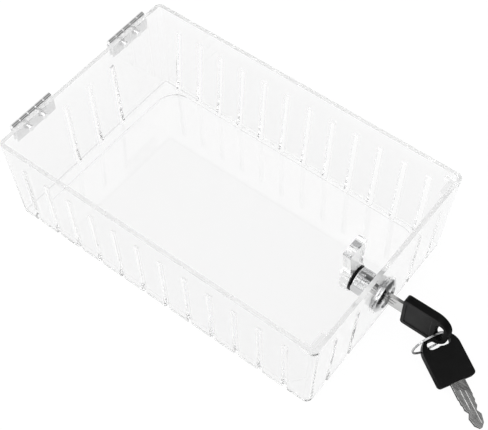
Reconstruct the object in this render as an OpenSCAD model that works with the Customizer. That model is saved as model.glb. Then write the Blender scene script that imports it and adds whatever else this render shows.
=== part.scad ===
// Clear lockable cover box: vented moulded shell, two rim hinges, cam lock, two keys on a split ring.
// The box lies on its flat face with its open side up. The lock is at +X and the hinges are at -X.

/* [Shell] */
// Outer length of the rim
box_l = 210; // [180:1:260]
// Outer width of the rim
box_w = 135; // [115:1:180]
// Height from the flat face to the rim
box_h = 62.5; // [55:0.5:90]
// Thickness of the walls
wall_t = 2.5; // [1.8:0.1:3.5]
// Thickness of the flat face
floor_t = 2.5; // [1.8:0.1:4]
// Draft of the walls, in degrees
draft_deg = 3; // [0:0.1:5]
// Radius of the upright corners
corner_r = 4; // [3:0.1:8]
// Radius of the edge between a wall and the flat face
edge_r = 3; // [2:0.1:5]

/* [Window panel] */
// Gap from the end walls to the panel's outline
panel_gap_x = 7; // [3:0.1:20]
// Gap from the long walls to the panel's outline
panel_gap_y = 2.4; // [1:0.1:15]
// Corner radius of the panel's outline
panel_r = 13; // [5:0.5:25]
// Depth of the panel's step
panel_step = 0.6; // [0.2:0.1:1]

/* [Vent slots] */
// Width of a slot
slot_w = 3.4; // [2:0.1:5]
// Distance from the rim to a slot's top
slot_drop = 13.5; // [12:0.5:25]
// Distance between slots along the long walls
slot_pitch = 15.9; // [12:0.1:25]
// Distance from the hinge end to the first slot
slot_first = 16.5; // [14:0.5:30]
// Least distance from the lock end to the last slot
slot_last = 16; // [14:0.5:40]
// Distance between slots along the end walls
end_slot_pitch = 19.6; // [14:0.1:25]
// Shift of the hinge end's slots from the middle
hinge_slot_shift = 1.2; // [-4:0.1:4]
// Half of the bay that the slots leave clear around the lock
lock_bay = 28.5; // [20:0.5:35]
// How far a slot cuts into the flat face past the wall
slot_notch = 0.6; // [0.2:0.1:2]

/* [Corner ledges] */
// Length of a ledge along the end wall
ledge_y = 13.7; // [8:0.1:20]
// Length of a ledge along the long wall
ledge_x = 8; // [6:0.1:16]
// Width of a ledge's bars
ledge_bar = 3.6; // [2:0.1:5]
// Thickness of a ledge
ledge_t = 2; // [1:0.1:4]
// Distance from the rim down to a ledge
ledge_drop = 3; // [1:0.1:6]

/* [Hinges] */
// Length of a hinge
hinge_l = 30; // [24:0.5:40]
// Distance from a long wall to the hinge next to it
hinge_edge = 13; // [10:0.5:18]
// Height of a leaf below the pin
leaf_h = 10; // [8:0.1:12]
// Thickness of a leaf
leaf_t = 0.8; // [0.6:0.05:1]
// Diameter of a pin
pin_d = 1.6; // [1.2:0.1:2]
// Number of knuckles
knuckles = 5; // [3:2:7]
// Gap between neighbouring knuckles
knuckle_gap = 0.6; // [0.3:0.05:0.8]
// Distance between the holes of a leaf
leaf_hole_span = 18; // [14:0.5:20]
// Diameter of the holes of a leaf
leaf_hole_d = 2.6; // [2:0.1:3]
// Distance between the rivets of a leaf
rivet_span = 11; // [8:0.5:12]
// Diameter of a rivet's shank
rivet_d = 2.4; // [1.8:0.1:2.5]
// Diameter of a rivet's heads
rivet_head_d = 4.2; // [3.4:0.1:5]
// Height of a rivet's heads
rivet_head_t = 0.7; // [0.4:0.05:0.8]

/* [Lock] */
// Distance of the lock from the middle of the end wall
lock_y = -2.5; // [-6:0.1:6]
// Distance from the rim down to the lock's axis
lock_drop = 29.9; // [27:0.1:31]
// Diameter of the lock's face
face_d = 20; // [18:0.1:24]
// Thickness of the lock's face
face_t = 2.4; // [2:0.1:4]
// Thickness of the lock's face at its edge, from which it rises as a cone
face_edge = 1.1; // [0.8:0.1:1.6]
// Diameter of the threaded barrel
barrel_d = 15; // [14.4:0.1:17]
// Length of the barrel behind the face
barrel_l = 17; // [16.5:0.1:26]
// Distance across the barrel's two flats
barrel_flats = 13.6; // [13.2:0.1:14.2]
// Pitch of the barrel's thread
thread_pitch = 1; // [0.8:0.05:1.5]
// Depth of the barrel's thread
thread_depth = 0.35; // [0.2:0.05:0.4]
// Distance across the flats of the nut
nut_flats = 18; // [17.5:0.1:22]
// Thickness of the nut
nut_t = 3.2; // [2:0.1:5]
// Diameter of the seat on the end wall
seat_d = 22; // [21:0.1:26]
// Height of the seat above the wall at the lock's edge
seat_t = 0.3; // [0.1:0.05:1]

/* [Plug] */
// Diameter of the plug
plug_d = 10.4; // [10:0.1:10.8]
// Diameter of the plug's head
plug_head_d = 12.6; // [12:0.1:13.4]
// Thickness of the plug's head
plug_head_t = 1.3; // [0.8:0.1:1.6]
// Side of the plug's square tail
tail_side = 6; // [5:0.1:6.5]
// Diameter of the cam screw
screw_d = 3; // [2.5:0.1:3.5]
// Diameter of the cam screw's head
screw_head_d = 6.6; // [5.5:0.1:8]
// Thickness of the cam screw's head
screw_head_t = 2.2; // [1.5:0.1:3]
// Depth of the cam screw in the tail
screw_depth = 4.5; // [3:0.1:5]
// Thickness of a wafer
wafer_t = 1.1; // [0.8:0.05:1.3]
// Width of a wafer
wafer_w = 5; // [4.4:0.1:5.4]
// Distance between wafers
wafer_pitch = 2.4; // [2:0.1:2.6]
// Travel of a wafer
wafer_travel = 0.7; // [0.3:0.05:0.7]

/* [Cam] */
// Diameter of the cam's hub
cam_hub_d = 17; // [14:0.1:19]
// Reach of the cam from the lock's axis
cam_reach = 27; // [20:0.1:28]
// Width of the cam's neck
cam_neck_w = 12; // [9:0.1:14]
// Width of the cam's tip
cam_tip_w = 15.5; // [10:0.1:18]
// Thickness of the cam
cam_t = 5; // [3:0.1:6]
// Thickness of the stop washer
stop_t = 1; // [0.5:0.05:1.5]
// Thickness of the spring washer
spring_washer_t = 0.7; // [0.4:0.05:1.2]

/* [Keys] */
// Gap between the lock's face and the head of key 1
key_gap = 9.8; // [8:0.1:12]
// Length of the blade
blade_l = 26.2; // [24:0.1:27]
// Width of the blade
blade_w = 8.4; // [8:0.1:8.6]
// Thickness of the blade
blade_t = 2; // [1.6:0.1:2.2]
// Length of the tang in the head
tang_l = 9; // [6:0.1:14]
// Length of the head
head_l = 27.5; // [25:0.1:32]
// Width of the head
head_w = 21.8; // [20:0.1:26]
// Thickness of the head
head_t = 4.6; // [3.6:0.1:6]
// Radius of the head's round end
head_end_r = 9.5; // [7:0.1:10]
// Radius of the head's corners
head_corner_r = 2; // [1:0.1:4]
// Length of the eye
eye_l = 13.6; // [12:0.1:15]
// Width of the eye
eye_w = 4.8; // [4.5:0.1:5.2]
// How far the middle of the head bulges into the eye
eye_bulge = 0.4; // [0.2:0.05:0.5]
// Radius of that bulge
bulge_r = 3.2; // [2:0.1:4]
// Distance from the head's end to the eye
eye_strap = 2.9; // [2.6:0.1:3.2]

/* [Ring] */
// Radius of the ring at the middle of its wire
ring_r = 10; // [9.6:0.1:10.6]
// Thickness of the ring's wire
ring_wire = 0.9; // [0.8:0.05:1.2]
// Width of the two turns together
ring_w = 1.6; // [1.4:0.05:1.8]
// Turn of the ring's axis about X, Y and Z, in degrees
ring_turn = [0, 81.8, 152.6];
// Place of key 1 around the ring, in degrees
ring_key_1_deg = 203.5; // [200:0.5:207]
// Place of key 2 around the ring, in degrees
ring_key_2_deg = 305.5; // [302:0.5:309]
// Turn of key 2 about X, Y and Z, in degrees
key_2_turn = [-0.7, 13.4, -27.9];
// Height of the ring above the lower end of the eye of key 1
ring_lift = 4; // [3.7:0.1:4.3]
// Distance of the ring from the middle of the eye of key 2
ring_shift = 0.5; // [0.3:0.05:0.7]
// Place of the ring along the eye of key 2
key_2_eye_v = 2; // [1.6:0.1:2.4]

/* [Fits] */
// Clearance of a pin or a plug in its bore
run_clear = 0.05; // [0.02:0.01:0.1]
// Clearance of a fixed fit
fit_clear = 0.05; // [0.02:0.01:0.1]
// Gap between moving faces
face_gap = 0.3; // [0.2:0.05:0.5]

/* [Hidden] */
$fn = 48;

clear_col = [0.86, 0.92, 0.95, 0.35];
steel_col = [0.72, 0.73, 0.75];
chrome_col = [0.85, 0.86, 0.88];
brass_col = [0.78, 0.62, 0.3];
black_col = [0.08, 0.08, 0.09];

slope = tan(draft_deg);
hull_fn = 32;
cut = 1;

// Half length or width of the shell's outside at a height
function half_at(size, z) = size / 2 - (box_h - z) * slope;

// Turns a vector about X, then Y, then Z
function turn_x(v, a) = [v.x, v.y * cos(a) - v.z * sin(a), v.y * sin(a) + v.z * cos(a)];
function turn_y(v, a) = [v.x * cos(a) + v.z * sin(a), v.y, v.z * cos(a) - v.x * sin(a)];
function turn_z(v, a) = [v.x * cos(a) - v.y * sin(a), v.x * sin(a) + v.y * cos(a), v.z];
function turned(v, t) = turn_z(turn_y(turn_x(v, t.x), t.y), t.z);

// Vent slots: places along the long walls and along the end walls
slot_top = box_h - slot_drop;
slot_count = floor((box_l - slot_first - slot_last) / slot_pitch) + 1;
slot_xs = [for (i = [0 : slot_count - 1]) -box_l / 2 + slot_first + i * slot_pitch];
lock_slot_room = half_at(box_w, 0) - wall_t - corner_r - slot_w / 2;
lock_slot_steps = floor((lock_slot_room - lock_bay) / end_slot_pitch);
lock_slot_ys = [for (side = [-1, 1], i = [0 : lock_slot_steps]) side * (lock_bay + i * end_slot_pitch)];
hinge_slot_ys = [for (i = [-1 : 1]) hinge_slot_shift + i * end_slot_pitch];

// Hinges: the pin's axis lies outside the rim, level with it
knuckle_r = pin_d / 2 + leaf_t;
hinge_x = -box_l / 2 - fit_clear - knuckle_r;
hinge_z = box_h;
hinge_y = box_w / 2 - hinge_edge - hinge_l / 2;
hinge_ys = [-hinge_y, hinge_y];
knuckle_l = (hinge_l - (knuckles - 1) * knuckle_gap) / knuckles;
leaf_hole_z = hinge_z - knuckle_r - (leaf_h - knuckle_r) / 2;
rivet_in_x = -half_at(box_l, leaf_hole_z) + wall_t + rivet_head_d / 2 * slope + fit_clear;

// Lock: distances along its axis are taken from the seat plane, outwards positive
lock_z = box_h - lock_drop;
seat_x = half_at(box_l, lock_z) + seat_d / 2 * slope + seat_t;
seat_in_x = half_at(box_l, lock_z) - wall_t - seat_d / 2 * slope - seat_t;
face_x = seat_x + fit_clear;
barrel_r = barrel_d / 2;
plug_r = plug_d / 2;
plug_front = face_t - 0.8;
plug_seat = plug_front - plug_head_t;
tail_start = -barrel_l + face_gap;
stop_start = -barrel_l - face_gap;
cam_start = stop_start - stop_t;
cam_end = cam_start - cam_t;
tail_end = cam_end + face_gap;
washer_end = cam_end - spring_washer_t;
head_end = washer_end - screw_head_t;

// Keyway and wafers
key_tip = face_t + key_gap - blade_l;
keyway_end = key_tip - face_gap;
keyway_w = blade_t + 0.2;
keyway_h = blade_w + 0.4;
wafer_count = 4;
wafer_first = plug_seat - wafer_t;
wafer_xs = [for (i = [0 : wafer_count - 1]) wafer_first - i * wafer_pitch];
wafer_end_r = plug_r - 0.1;
lug_w = 1.1;
lug_h = 1.2;
lug_z = 0.2;
spring_d = 1;
spring_h = 1.8;
spring_y = wafer_w / 2 + lug_w / 2;
groove_r = wafer_end_r + wafer_travel + 0.2;

// Keys: u runs along the key from the head's edge to the tip, v runs across it
key_1_x = face_x + face_t + key_gap;
eye_mid_u = -head_l + eye_strap + eye_w / 2;
head_end_u = -head_l + head_end_r;
head_end_v = head_w / 2 - head_end_r;

// Ring: it passes the eye of key 1 near its lower end, and the strap of key 2 hangs on it
function ring_dir(a) = turned([cos(a), sin(a), 0], ring_turn);
function ring_tangent(a) = turned([-sin(a), cos(a), 0], ring_turn);
ring_at_key_1 = [key_1_x - eye_mid_u, lock_y, lock_z - eye_l / 2 + ring_lift];
ring_mid = ring_at_key_1 - ring_r * ring_dir(ring_key_1_deg);
ring_at_key_2 = ring_mid + ring_r * ring_dir(ring_key_2_deg);
ring_in_eye_u = eye_mid_u - ring_shift;
key_2_place = ring_at_key_2 - turned([ring_in_eye_u, key_2_eye_v, 0], key_2_turn);

echo(hinge_axis = [hinge_x, 0, hinge_z], lock_axis = [face_x, lock_y, lock_z]);
echo(ring_swing_at = ring_at_key_1, ring_swing_axis = ring_tangent(ring_key_1_deg));
echo(spare_swing_at = ring_at_key_2, spare_swing_axis = ring_tangent(ring_key_2_deg));

// Drafted block with round upright corners and a round lower edge
module drafted_block(inset, low, top, upright_r, lower_r) {
    hull() for (sx = [-1, 1], sy = [-1, 1]) {
        translate([sx * (half_at(box_l, top) - inset - upright_r),
                   sy * (half_at(box_w, top) - inset - upright_r), top - 0.01])
            cylinder(r = upright_r, h = 0.01, $fn = hull_fn);
        translate([sx * (half_at(box_l, low) - inset - lower_r),
                   sy * (half_at(box_w, low) - inset - lower_r), low + lower_r])
            rotate_extrude($fn = hull_fn) intersection() {
                circle(lower_r, $fn = hull_fn);
                translate([0, -lower_r]) square([lower_r, lower_r]);
            }
    }
}

module rounded_rect(l, w, r) {
    square([l - 2 * r, w], center = true);
    square([l, w - 2 * r], center = true);
    for (sx = [-1, 1], sy = [-1, 1])
        translate([sx * (l / 2 - r), sy * (w / 2 - r)]) circle(r);
}

// Places its children on the lock's axis, with Z along the axis and X up
module on_lock() {
    translate([face_x, lock_y, lock_z]) rotate([0, 90, 0]) rotate([0, 0, 180]) children();
}

// Flat plate across the lock's axis: the shape's X is across the box and its Y is up
module lock_plate(start, thick) {
    translate([face_x + start - thick, lock_y, lock_z]) rotate([90, 0, 90])
        linear_extrude(thick) children();
}

module ledges() {
    end_x = half_at(box_l, box_h);
    side_y = half_at(box_w, box_h);
    for (sy = [-1, 1]) translate([end_x, sy * side_y, box_h - ledge_drop - ledge_t]) {
        translate([-wall_t - ledge_bar, sy > 0 ? -wall_t - ledge_y : 0, 0])
            cube([wall_t + ledge_bar, wall_t + ledge_y, ledge_t]);
        translate([-wall_t - ledge_x, sy > 0 ? -wall_t - ledge_bar : 0, 0])
            cube([wall_t + ledge_x, wall_t + ledge_bar, ledge_t]);
    }
}

module vent_cuts() {
    deep_y = half_at(box_w, 0) - wall_t - slot_notch;
    deep_x = half_at(box_l, 0) - wall_t - slot_notch;
    for (x = slot_xs, side = [-1, 1])
        translate([x - slot_w / 2, side > 0 ? deep_y : -box_w / 2 - cut, -cut])
            cube([slot_w, box_w / 2 + cut - deep_y, slot_top + cut]);
    for (y = lock_slot_ys)
        translate([deep_x, y - slot_w / 2, -cut])
            cube([box_l / 2 + cut - deep_x, slot_w, slot_top + cut]);
    for (y = hinge_slot_ys)
        translate([-box_l / 2 - cut, y - slot_w / 2, -cut])
            cube([box_l / 2 + cut - deep_x, slot_w, slot_top + cut]);
}

// Section of the barrel: a circle with two flats
module barrel_hole(clear) {
    intersection() {
        circle(barrel_r + clear);
        square([barrel_flats + 2 * clear, barrel_d + cut], center = true);
    }
}

module rivet_places() {
    for (y = hinge_ys, k = [-1, 1]) translate([0, y + k * rivet_span / 2, leaf_hole_z]) children();
}

module cover_shell() {
    inner_corner_r = max(corner_r - wall_t, 1);
    inner_edge_r = max(edge_r - wall_t, 1);
    panel_l = 2 * (half_at(box_l, floor_t) - wall_t - panel_gap_x);
    panel_w = 2 * (half_at(box_w, floor_t) - wall_t - panel_gap_y);
    color(clear_col) difference() {
        union() {
            difference() {
                drafted_block(0, 0, box_h, corner_r, edge_r);
                difference() {
                    drafted_block(wall_t, floor_t, box_h + cut, inner_corner_r, inner_edge_r);
                    ledges();
                }
            }
            translate([seat_in_x, lock_y, lock_z]) rotate([0, 90, 0])
                cylinder(d = seat_d, h = seat_x - seat_in_x);
        }
        vent_cuts();
        translate([0, 0, floor_t - panel_step])
            linear_extrude(panel_step + cut) rounded_rect(panel_l, panel_w, panel_r);
        lock_plate(seat_x - face_x + cut, seat_x - seat_in_x + 2 * cut) barrel_hole(fit_clear);
        rivet_places() translate([-box_l / 2 - cut, 0, 0]) rotate([0, 90, 0])
            cylinder(d = rivet_d + 2 * fit_clear, h = wall_t + 2 * cut);
    }
}

module hinge_rivets() {
    out_x = hinge_x + knuckle_r - leaf_t;
    color(steel_col) rivet_places() rotate([0, 90, 0]) {
        translate([0, 0, out_x - rivet_head_t])
            cylinder(d1 = rivet_head_d - 0.8, d2 = rivet_head_d, h = rivet_head_t);
        translate([0, 0, out_x]) cylinder(d = rivet_d, h = rivet_in_x - out_x);
        translate([0, 0, rivet_in_x])
            cylinder(d1 = rivet_head_d, d2 = rivet_head_d - 0.8, h = rivet_head_t);
    }
}

// One leaf: side 1 is next to the wall, side -1 is the free leaf, which hangs outside
module hinge_leaf(y, side, bore_clear, hole_d, hole_span) {
    first = side > 0 ? 0 : 1;
    step_y = knuckle_l + knuckle_gap;
    face_x0 = side > 0 ? knuckle_r - leaf_t : -knuckle_r;
    color(steel_col) translate([hinge_x, y - hinge_l / 2, hinge_z]) difference() {
        union() {
            translate([face_x0, 0, -leaf_h]) cube([leaf_t, hinge_l, leaf_h - knuckle_r - knuckle_gap]);
            for (i = [first : 2 : knuckles - 1]) translate([0, i * step_y, 0]) {
                rotate([-90, 0, 0]) cylinder(r = knuckle_r, h = knuckle_l);
                translate([face_x0, 0, -leaf_h]) cube([leaf_t, knuckle_l, leaf_h]);
            }
        }
        translate([0, -cut, 0]) rotate([-90, 0, 0])
            cylinder(r = pin_d / 2 + bore_clear, h = hinge_l + 2 * cut);
        for (k = [-1, 1])
            translate([-knuckle_r - cut, hinge_l / 2 + k * hole_span / 2, leaf_hole_z - hinge_z])
                rotate([0, 90, 0]) cylinder(d = hole_d, h = 2 * (knuckle_r + cut));
    }
}

module near_fixed_leaf() hinge_leaf(hinge_ys[0], 1, fit_clear / 2, rivet_d + 2 * fit_clear, rivet_span);
module near_free_leaf() hinge_leaf(hinge_ys[0], -1, run_clear, leaf_hole_d, leaf_hole_span);
module far_fixed_leaf() hinge_leaf(hinge_ys[1], 1, fit_clear / 2, rivet_d + 2 * fit_clear, rivet_span);
module far_free_leaf() hinge_leaf(hinge_ys[1], -1, run_clear, leaf_hole_d, leaf_hole_span);

module hinge_pin(y) {
    stand_out = 0.4;
    color(steel_col) translate([hinge_x, y - hinge_l / 2 - stand_out, hinge_z]) rotate([-90, 0, 0])
        cylinder(d = pin_d, h = hinge_l + 2 * stand_out);
}

module near_pin() hinge_pin(hinge_ys[0]);
module far_pin() hinge_pin(hinge_ys[1]);

// Outline of the lock body: threaded barrel, then the face with a rounded edge and a cone
module housing_outline() {
    ridges = floor((barrel_l - nut_t) / thread_pitch);
    cone_r = plug_head_d / 2 + 0.8;
    round_r = 0.5;
    thread = [for (i = [0 : ridges - 1], k = [0, 1])
        [barrel_r - k * thread_depth, -barrel_l + 1 + (i + k / 2) * thread_pitch]];
    edge = [for (a = [0 : 15 : 60])
        [face_d / 2 - round_r + round_r * cos(a), face_edge - round_r + round_r * sin(a)]];
    polygon(concat([[0, -barrel_l], [barrel_r - 0.6, -barrel_l]], thread,
        [[barrel_r, -fit_clear], [barrel_r, 0], [face_d / 2, 0]], edge,
        [[cone_r, face_t], [0, face_t]]));
}

module lock_housing() {
    groove_l = wafer_count * wafer_pitch + 2 * wafer_t;
    color(chrome_col) on_lock() difference() {
        rotate_extrude() housing_outline();
        for (k = [-1, 1]) translate([0, k * (barrel_flats / 2 + barrel_r), -barrel_l / 2 - cut])
            cube([2 * barrel_d, 2 * barrel_r, barrel_l + 2 * cut], center = true);
        translate([0, 0, -barrel_l - cut])
            cylinder(r = plug_r + run_clear, h = barrel_l + face_t + 2 * cut);
        translate([0, 0, plug_seat - face_gap])
            cylinder(d = plug_head_d + 2 * run_clear, h = face_t + cut);
        for (a = [90, 180]) rotate([0, 0, a])
            translate([0, -wafer_w / 2 - 0.3, wafer_first + wafer_t - groove_l])
                cube([groove_r, wafer_w + 0.6, groove_l]);
    }
}

module lock_nut() {
    color(chrome_col) on_lock() translate([0, 0, seat_in_x - face_x - fit_clear - nut_t]) difference() {
        rotate([0, 0, 30]) cylinder(d = nut_flats / cos(30), h = nut_t, $fn = 6);
        translate([0, 0, -cut]) cylinder(r = barrel_r + fit_clear, h = nut_t + 2 * cut);
    }
}

module lock_plug() {
    slot_t = wafer_t + 0.2;
    color(chrome_col) on_lock() difference() {
        union() {
            translate([0, 0, plug_seat]) cylinder(d = plug_head_d, h = plug_head_t);
            translate([0, 0, tail_start]) cylinder(r = plug_r, h = plug_seat - tail_start);
            translate([-tail_side / 2, -tail_side / 2, tail_end])
                cube([tail_side, tail_side, tail_start - tail_end]);
        }
        translate([-keyway_h / 2, -keyway_w / 2, keyway_end])
            cube([keyway_h, keyway_w, plug_front - keyway_end + cut]);
        translate([0, 0, tail_end - cut])
            cylinder(d = screw_d + 2 * fit_clear, h = screw_depth + face_gap + cut);
        for (x = wafer_xs) translate([0, 0, x - slot_t / 2]) {
            translate([-plug_r - cut, -wafer_w / 2 - 0.1, 0])
                cube([plug_d + 2 * cut, wafer_w + 0.2, slot_t]);
            translate([lug_z - wafer_travel - 0.2, 0, 0])
                cube([wafer_travel + lug_h + spring_h + 0.3, wafer_w / 2 + lug_w + 0.1, slot_t]);
        }
    }
}

module wafer(i) {
    color(brass_col) on_lock() translate([0, 0, wafer_xs[i] - wafer_t / 2]) {
        difference() {
            intersection() {
                translate([-plug_r, -wafer_w / 2, 0]) cube([plug_d, wafer_w, wafer_t]);
                cylinder(r = wafer_end_r, h = wafer_t);
            }
            translate([-keyway_h / 2, -keyway_w / 2 - 0.2, -cut])
                cube([keyway_h, keyway_w + 0.4, wafer_t + 2 * cut]);
        }
        translate([lug_z, wafer_w / 2 - 0.2, 0]) cube([lug_h, lug_w + 0.2, wafer_t]);
    }
}

module wafer_1() wafer(0);
module wafer_2() wafer(1);
module wafer_3() wafer(2);
module wafer_4() wafer(3);

module wafer_springs() {
    color(steel_col) on_lock() for (x = wafer_xs) translate([lug_z + lug_h + 0.05, spring_y, x])
        rotate([0, 90, 0]) cylinder(d = spring_d, h = spring_h);
}

module tail_hole() square(tail_side + 2 * fit_clear, center = true);

module stop_washer() {
    color(black_col) lock_plate(stop_start, stop_t) difference() {
        union() {
            circle(r = barrel_r);
            translate([0, -barrel_r]) square([tail_side, barrel_r]);
        }
        tail_hole();
    }
}

// Clear cam: round hub, narrow neck and a flared tip that points up
module lock_cam() {
    neck = cam_neck_w / 2;
    tip = cam_tip_w / 2;
    tip_r = 0.8;
    color(clear_col) lock_plate(cam_start, cam_t) difference() {
        union() {
            circle(d = cam_hub_d);
            polygon([[-neck, 0], [neck, 0], [neck, cam_reach * 0.55], [tip, cam_reach - tip_r],
                [tip - tip_r, cam_reach], [tip_r - tip, cam_reach], [-tip, cam_reach - tip_r],
                [-neck, cam_reach * 0.55]]);
        }
        tail_hole();
    }
}

module spring_washer() {
    margin = 0.6;
    color(steel_col) lock_plate(cam_end, spring_washer_t) difference() {
        circle(d = screw_head_d + 2 * margin);
        circle(d = screw_d + 2 * fit_clear);
    }
}

module cam_screw() {
    slot_depth = 0.9;
    color(steel_col) on_lock() difference() {
        union() {
            translate([0, 0, head_end]) cylinder(d = screw_head_d, h = screw_head_t);
            translate([0, 0, washer_end]) cylinder(d = screw_d, h = tail_end + screw_depth - washer_end);
        }
        for (a = [0, 90]) rotate([0, 0, a]) translate([0, 0, head_end])
            cube([screw_head_d * 0.62, slot_depth, 2 * slot_depth], center = true);
    }
}

// Blade: straight part, two cut shoulders, waist and arrow tip, the same on both edges
module blade_outline() {
    cuts = [[0.328, 1], [0.359, 0.917], [0.443, 0.952], [0.481, 0.82], [0.565, 0.857], [0.649, 0.5],
        [0.748, 0.857], [0.916, 0.62], [1, 0.12]];
    edge = concat([[-tang_l, blade_w / 2]], [for (c = cuts) [c.x * blade_l, c.y * blade_w / 2]]);
    back = [for (i = [len(edge) - 1 : -1 : 0]) [edge[i].x, -edge[i].y]];
    polygon(concat(edge, back));
}

// Groove of a blade: its middle along and across the blade, and its length
module blade_groove(along, across, length) {
    groove_w = 0.11 * blade_w;
    groove_depth = 0.22 * blade_t;
    for (side = [-1, 1]) translate([along, side * across, side * blade_t / 2])
        cube([length, groove_w, 2 * groove_depth], center = true);
}

module key_blade() {
    difference() {
        translate([0, 0, -blade_t / 2]) linear_extrude(blade_t) blade_outline();
        blade_groove(0.57 * blade_l, 0.11 * blade_w, 0.7 * blade_l);
        blade_groove(0.38 * blade_l, -0.19 * blade_w, 0.42 * blade_l);
    }
}

module head_outline() {
    difference() {
        union() {
            translate([head_end_u, -head_w / 2]) square([-head_end_u - head_corner_r, head_w]);
            translate([-head_corner_r - cut, head_corner_r - head_w / 2])
                square([head_corner_r + cut, head_w - 2 * head_corner_r]);
            for (side = [-1, 1]) {
                translate([-head_corner_r, side * (head_w / 2 - head_corner_r)]) circle(head_corner_r);
                translate([head_end_u, side * head_end_v]) circle(head_end_r);
            }
            translate([-head_l, -head_end_v]) square([head_end_r, 2 * head_end_v]);
        }
        difference() {
            union() {
                for (side = [-1, 1]) translate([eye_mid_u, side * (eye_l - eye_w) / 2]) circle(d = eye_w);
                translate([eye_mid_u - eye_w / 2, -(eye_l - eye_w) / 2]) square([eye_w, eye_l - eye_w]);
            }
            translate([eye_mid_u + eye_w / 2 + bulge_r - eye_bulge, 0]) circle(bulge_r);
        }
    }
}

module key_head() {
    panel_step_h = 0.4;
    panel_corner_r = 1.2;
    panel_u = head_l * 0.55;
    difference() {
        translate([0, 0, -head_t / 2]) linear_extrude(head_t) head_outline();
        translate([-tang_l - fit_clear, -blade_w / 2 - fit_clear, -blade_t / 2 - fit_clear])
            cube([tang_l + fit_clear + cut, blade_w + 2 * fit_clear, blade_t + 2 * fit_clear]);
        translate([-panel_u / 2 - head_corner_r, 0, -head_t / 2 - cut]) linear_extrude(panel_step_h + cut)
            rounded_rect(panel_u, head_w - 2.4 * head_corner_r, panel_corner_r);
    }
}

module on_key_1() translate([key_1_x, lock_y, lock_z]) rotate([90, 0, 180]) children();
module on_key_2() translate(key_2_place) rotate(key_2_turn) children();

module key_1_blade() color(steel_col) on_key_1() key_blade();
module key_1_head() color(black_col) on_key_1() key_head();
module key_2_blade() color(steel_col) on_key_2() key_blade();
module key_2_head() color(black_col) on_key_2() key_head();

// Split ring: two turns of wire side by side, with the seam between them as a groove
module key_ring() {
    seam = 0.25;
    half = ring_wire / 2;
    side = ring_w / 2;
    bevel = 0.25;
    color(chrome_col) translate(ring_mid) rotate(ring_turn) rotate_extrude()
        polygon([[ring_r - half, -side + bevel], [ring_r - half + bevel, -side],
            [ring_r + half - bevel, -side],
            [ring_r + half, -side + bevel], [ring_r + half, -seam], [ring_r + half - seam, 0],
            [ring_r + half, seam], [ring_r + half, side - bevel], [ring_r + half - bevel, side],
            [ring_r - half + bevel, side], [ring_r - half, side - bevel], [ring_r - half, seam],
            [ring_r - half + seam, 0], [ring_r - half, -seam]]);
}

cover_shell();
hinge_rivets();
near_fixed_leaf();
near_free_leaf();
near_pin();
far_fixed_leaf();
far_free_leaf();
far_pin();
lock_housing();
lock_nut();
lock_plug();
wafer_1();
wafer_2();
wafer_3();
wafer_4();
wafer_springs();
stop_washer();
lock_cam();
spring_washer();
cam_screw();
key_1_blade();
key_1_head();
key_ring();
key_2_blade();
key_2_head();
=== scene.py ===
"""Dresses the clear lockable guard box: moulded shell, rim hinges, cam lock, two keys on a split ring."""
import logging
import math
from dataclasses import dataclass
from enum import Enum
from typing import Callable

import bpy
from mathutils import Matrix, Vector


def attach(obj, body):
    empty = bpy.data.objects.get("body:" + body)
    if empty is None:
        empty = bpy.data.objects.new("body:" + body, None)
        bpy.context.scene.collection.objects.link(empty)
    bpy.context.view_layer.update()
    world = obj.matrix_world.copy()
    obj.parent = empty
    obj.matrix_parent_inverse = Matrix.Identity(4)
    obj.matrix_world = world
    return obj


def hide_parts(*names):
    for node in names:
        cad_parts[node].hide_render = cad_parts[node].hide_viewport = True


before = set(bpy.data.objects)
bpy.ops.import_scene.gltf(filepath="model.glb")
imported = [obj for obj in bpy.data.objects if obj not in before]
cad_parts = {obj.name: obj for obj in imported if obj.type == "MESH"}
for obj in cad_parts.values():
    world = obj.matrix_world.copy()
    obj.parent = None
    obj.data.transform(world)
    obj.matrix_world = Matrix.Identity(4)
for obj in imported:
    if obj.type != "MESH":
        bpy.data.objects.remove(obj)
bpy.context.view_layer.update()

MM = 0.001
HAIR = 0.01 * MM
LOCK_Y = -2.5 * MM
LOCK_Z = 32.6 * MM
LOG = logging.getLogger("guard_box")
Point = tuple[float, float, float]
Socket = bpy.types.NodeSocket
Value = Socket | float


class Slot(Enum):
    """Material slots of the record that the pieces take their finish from."""

    CLEAR = "clear"
    STEEL = "steel"
    CHROME = "chrome"
    BRASS = "brass"
    KEY = "key_metal"
    BLACK = "black"


class Body(Enum):
    """Bodies of the frame that the pieces ride on."""

    COVER = "cover"
    NEAR_LEAF = "near_leaf"
    FAR_LEAF = "far_leaf"
    PLUG = "plug"
    KEY_1 = "key_1"
    RING = "ring"
    KEY_2 = "key_2"


class ShellZone(Enum):
    """Zones of the clear shell that differ in finish, numbered as its material slots."""

    FLOOR = 0
    WALL = 1
    RIM = 2
    SLOT = 3
    STEP = 4


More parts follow.
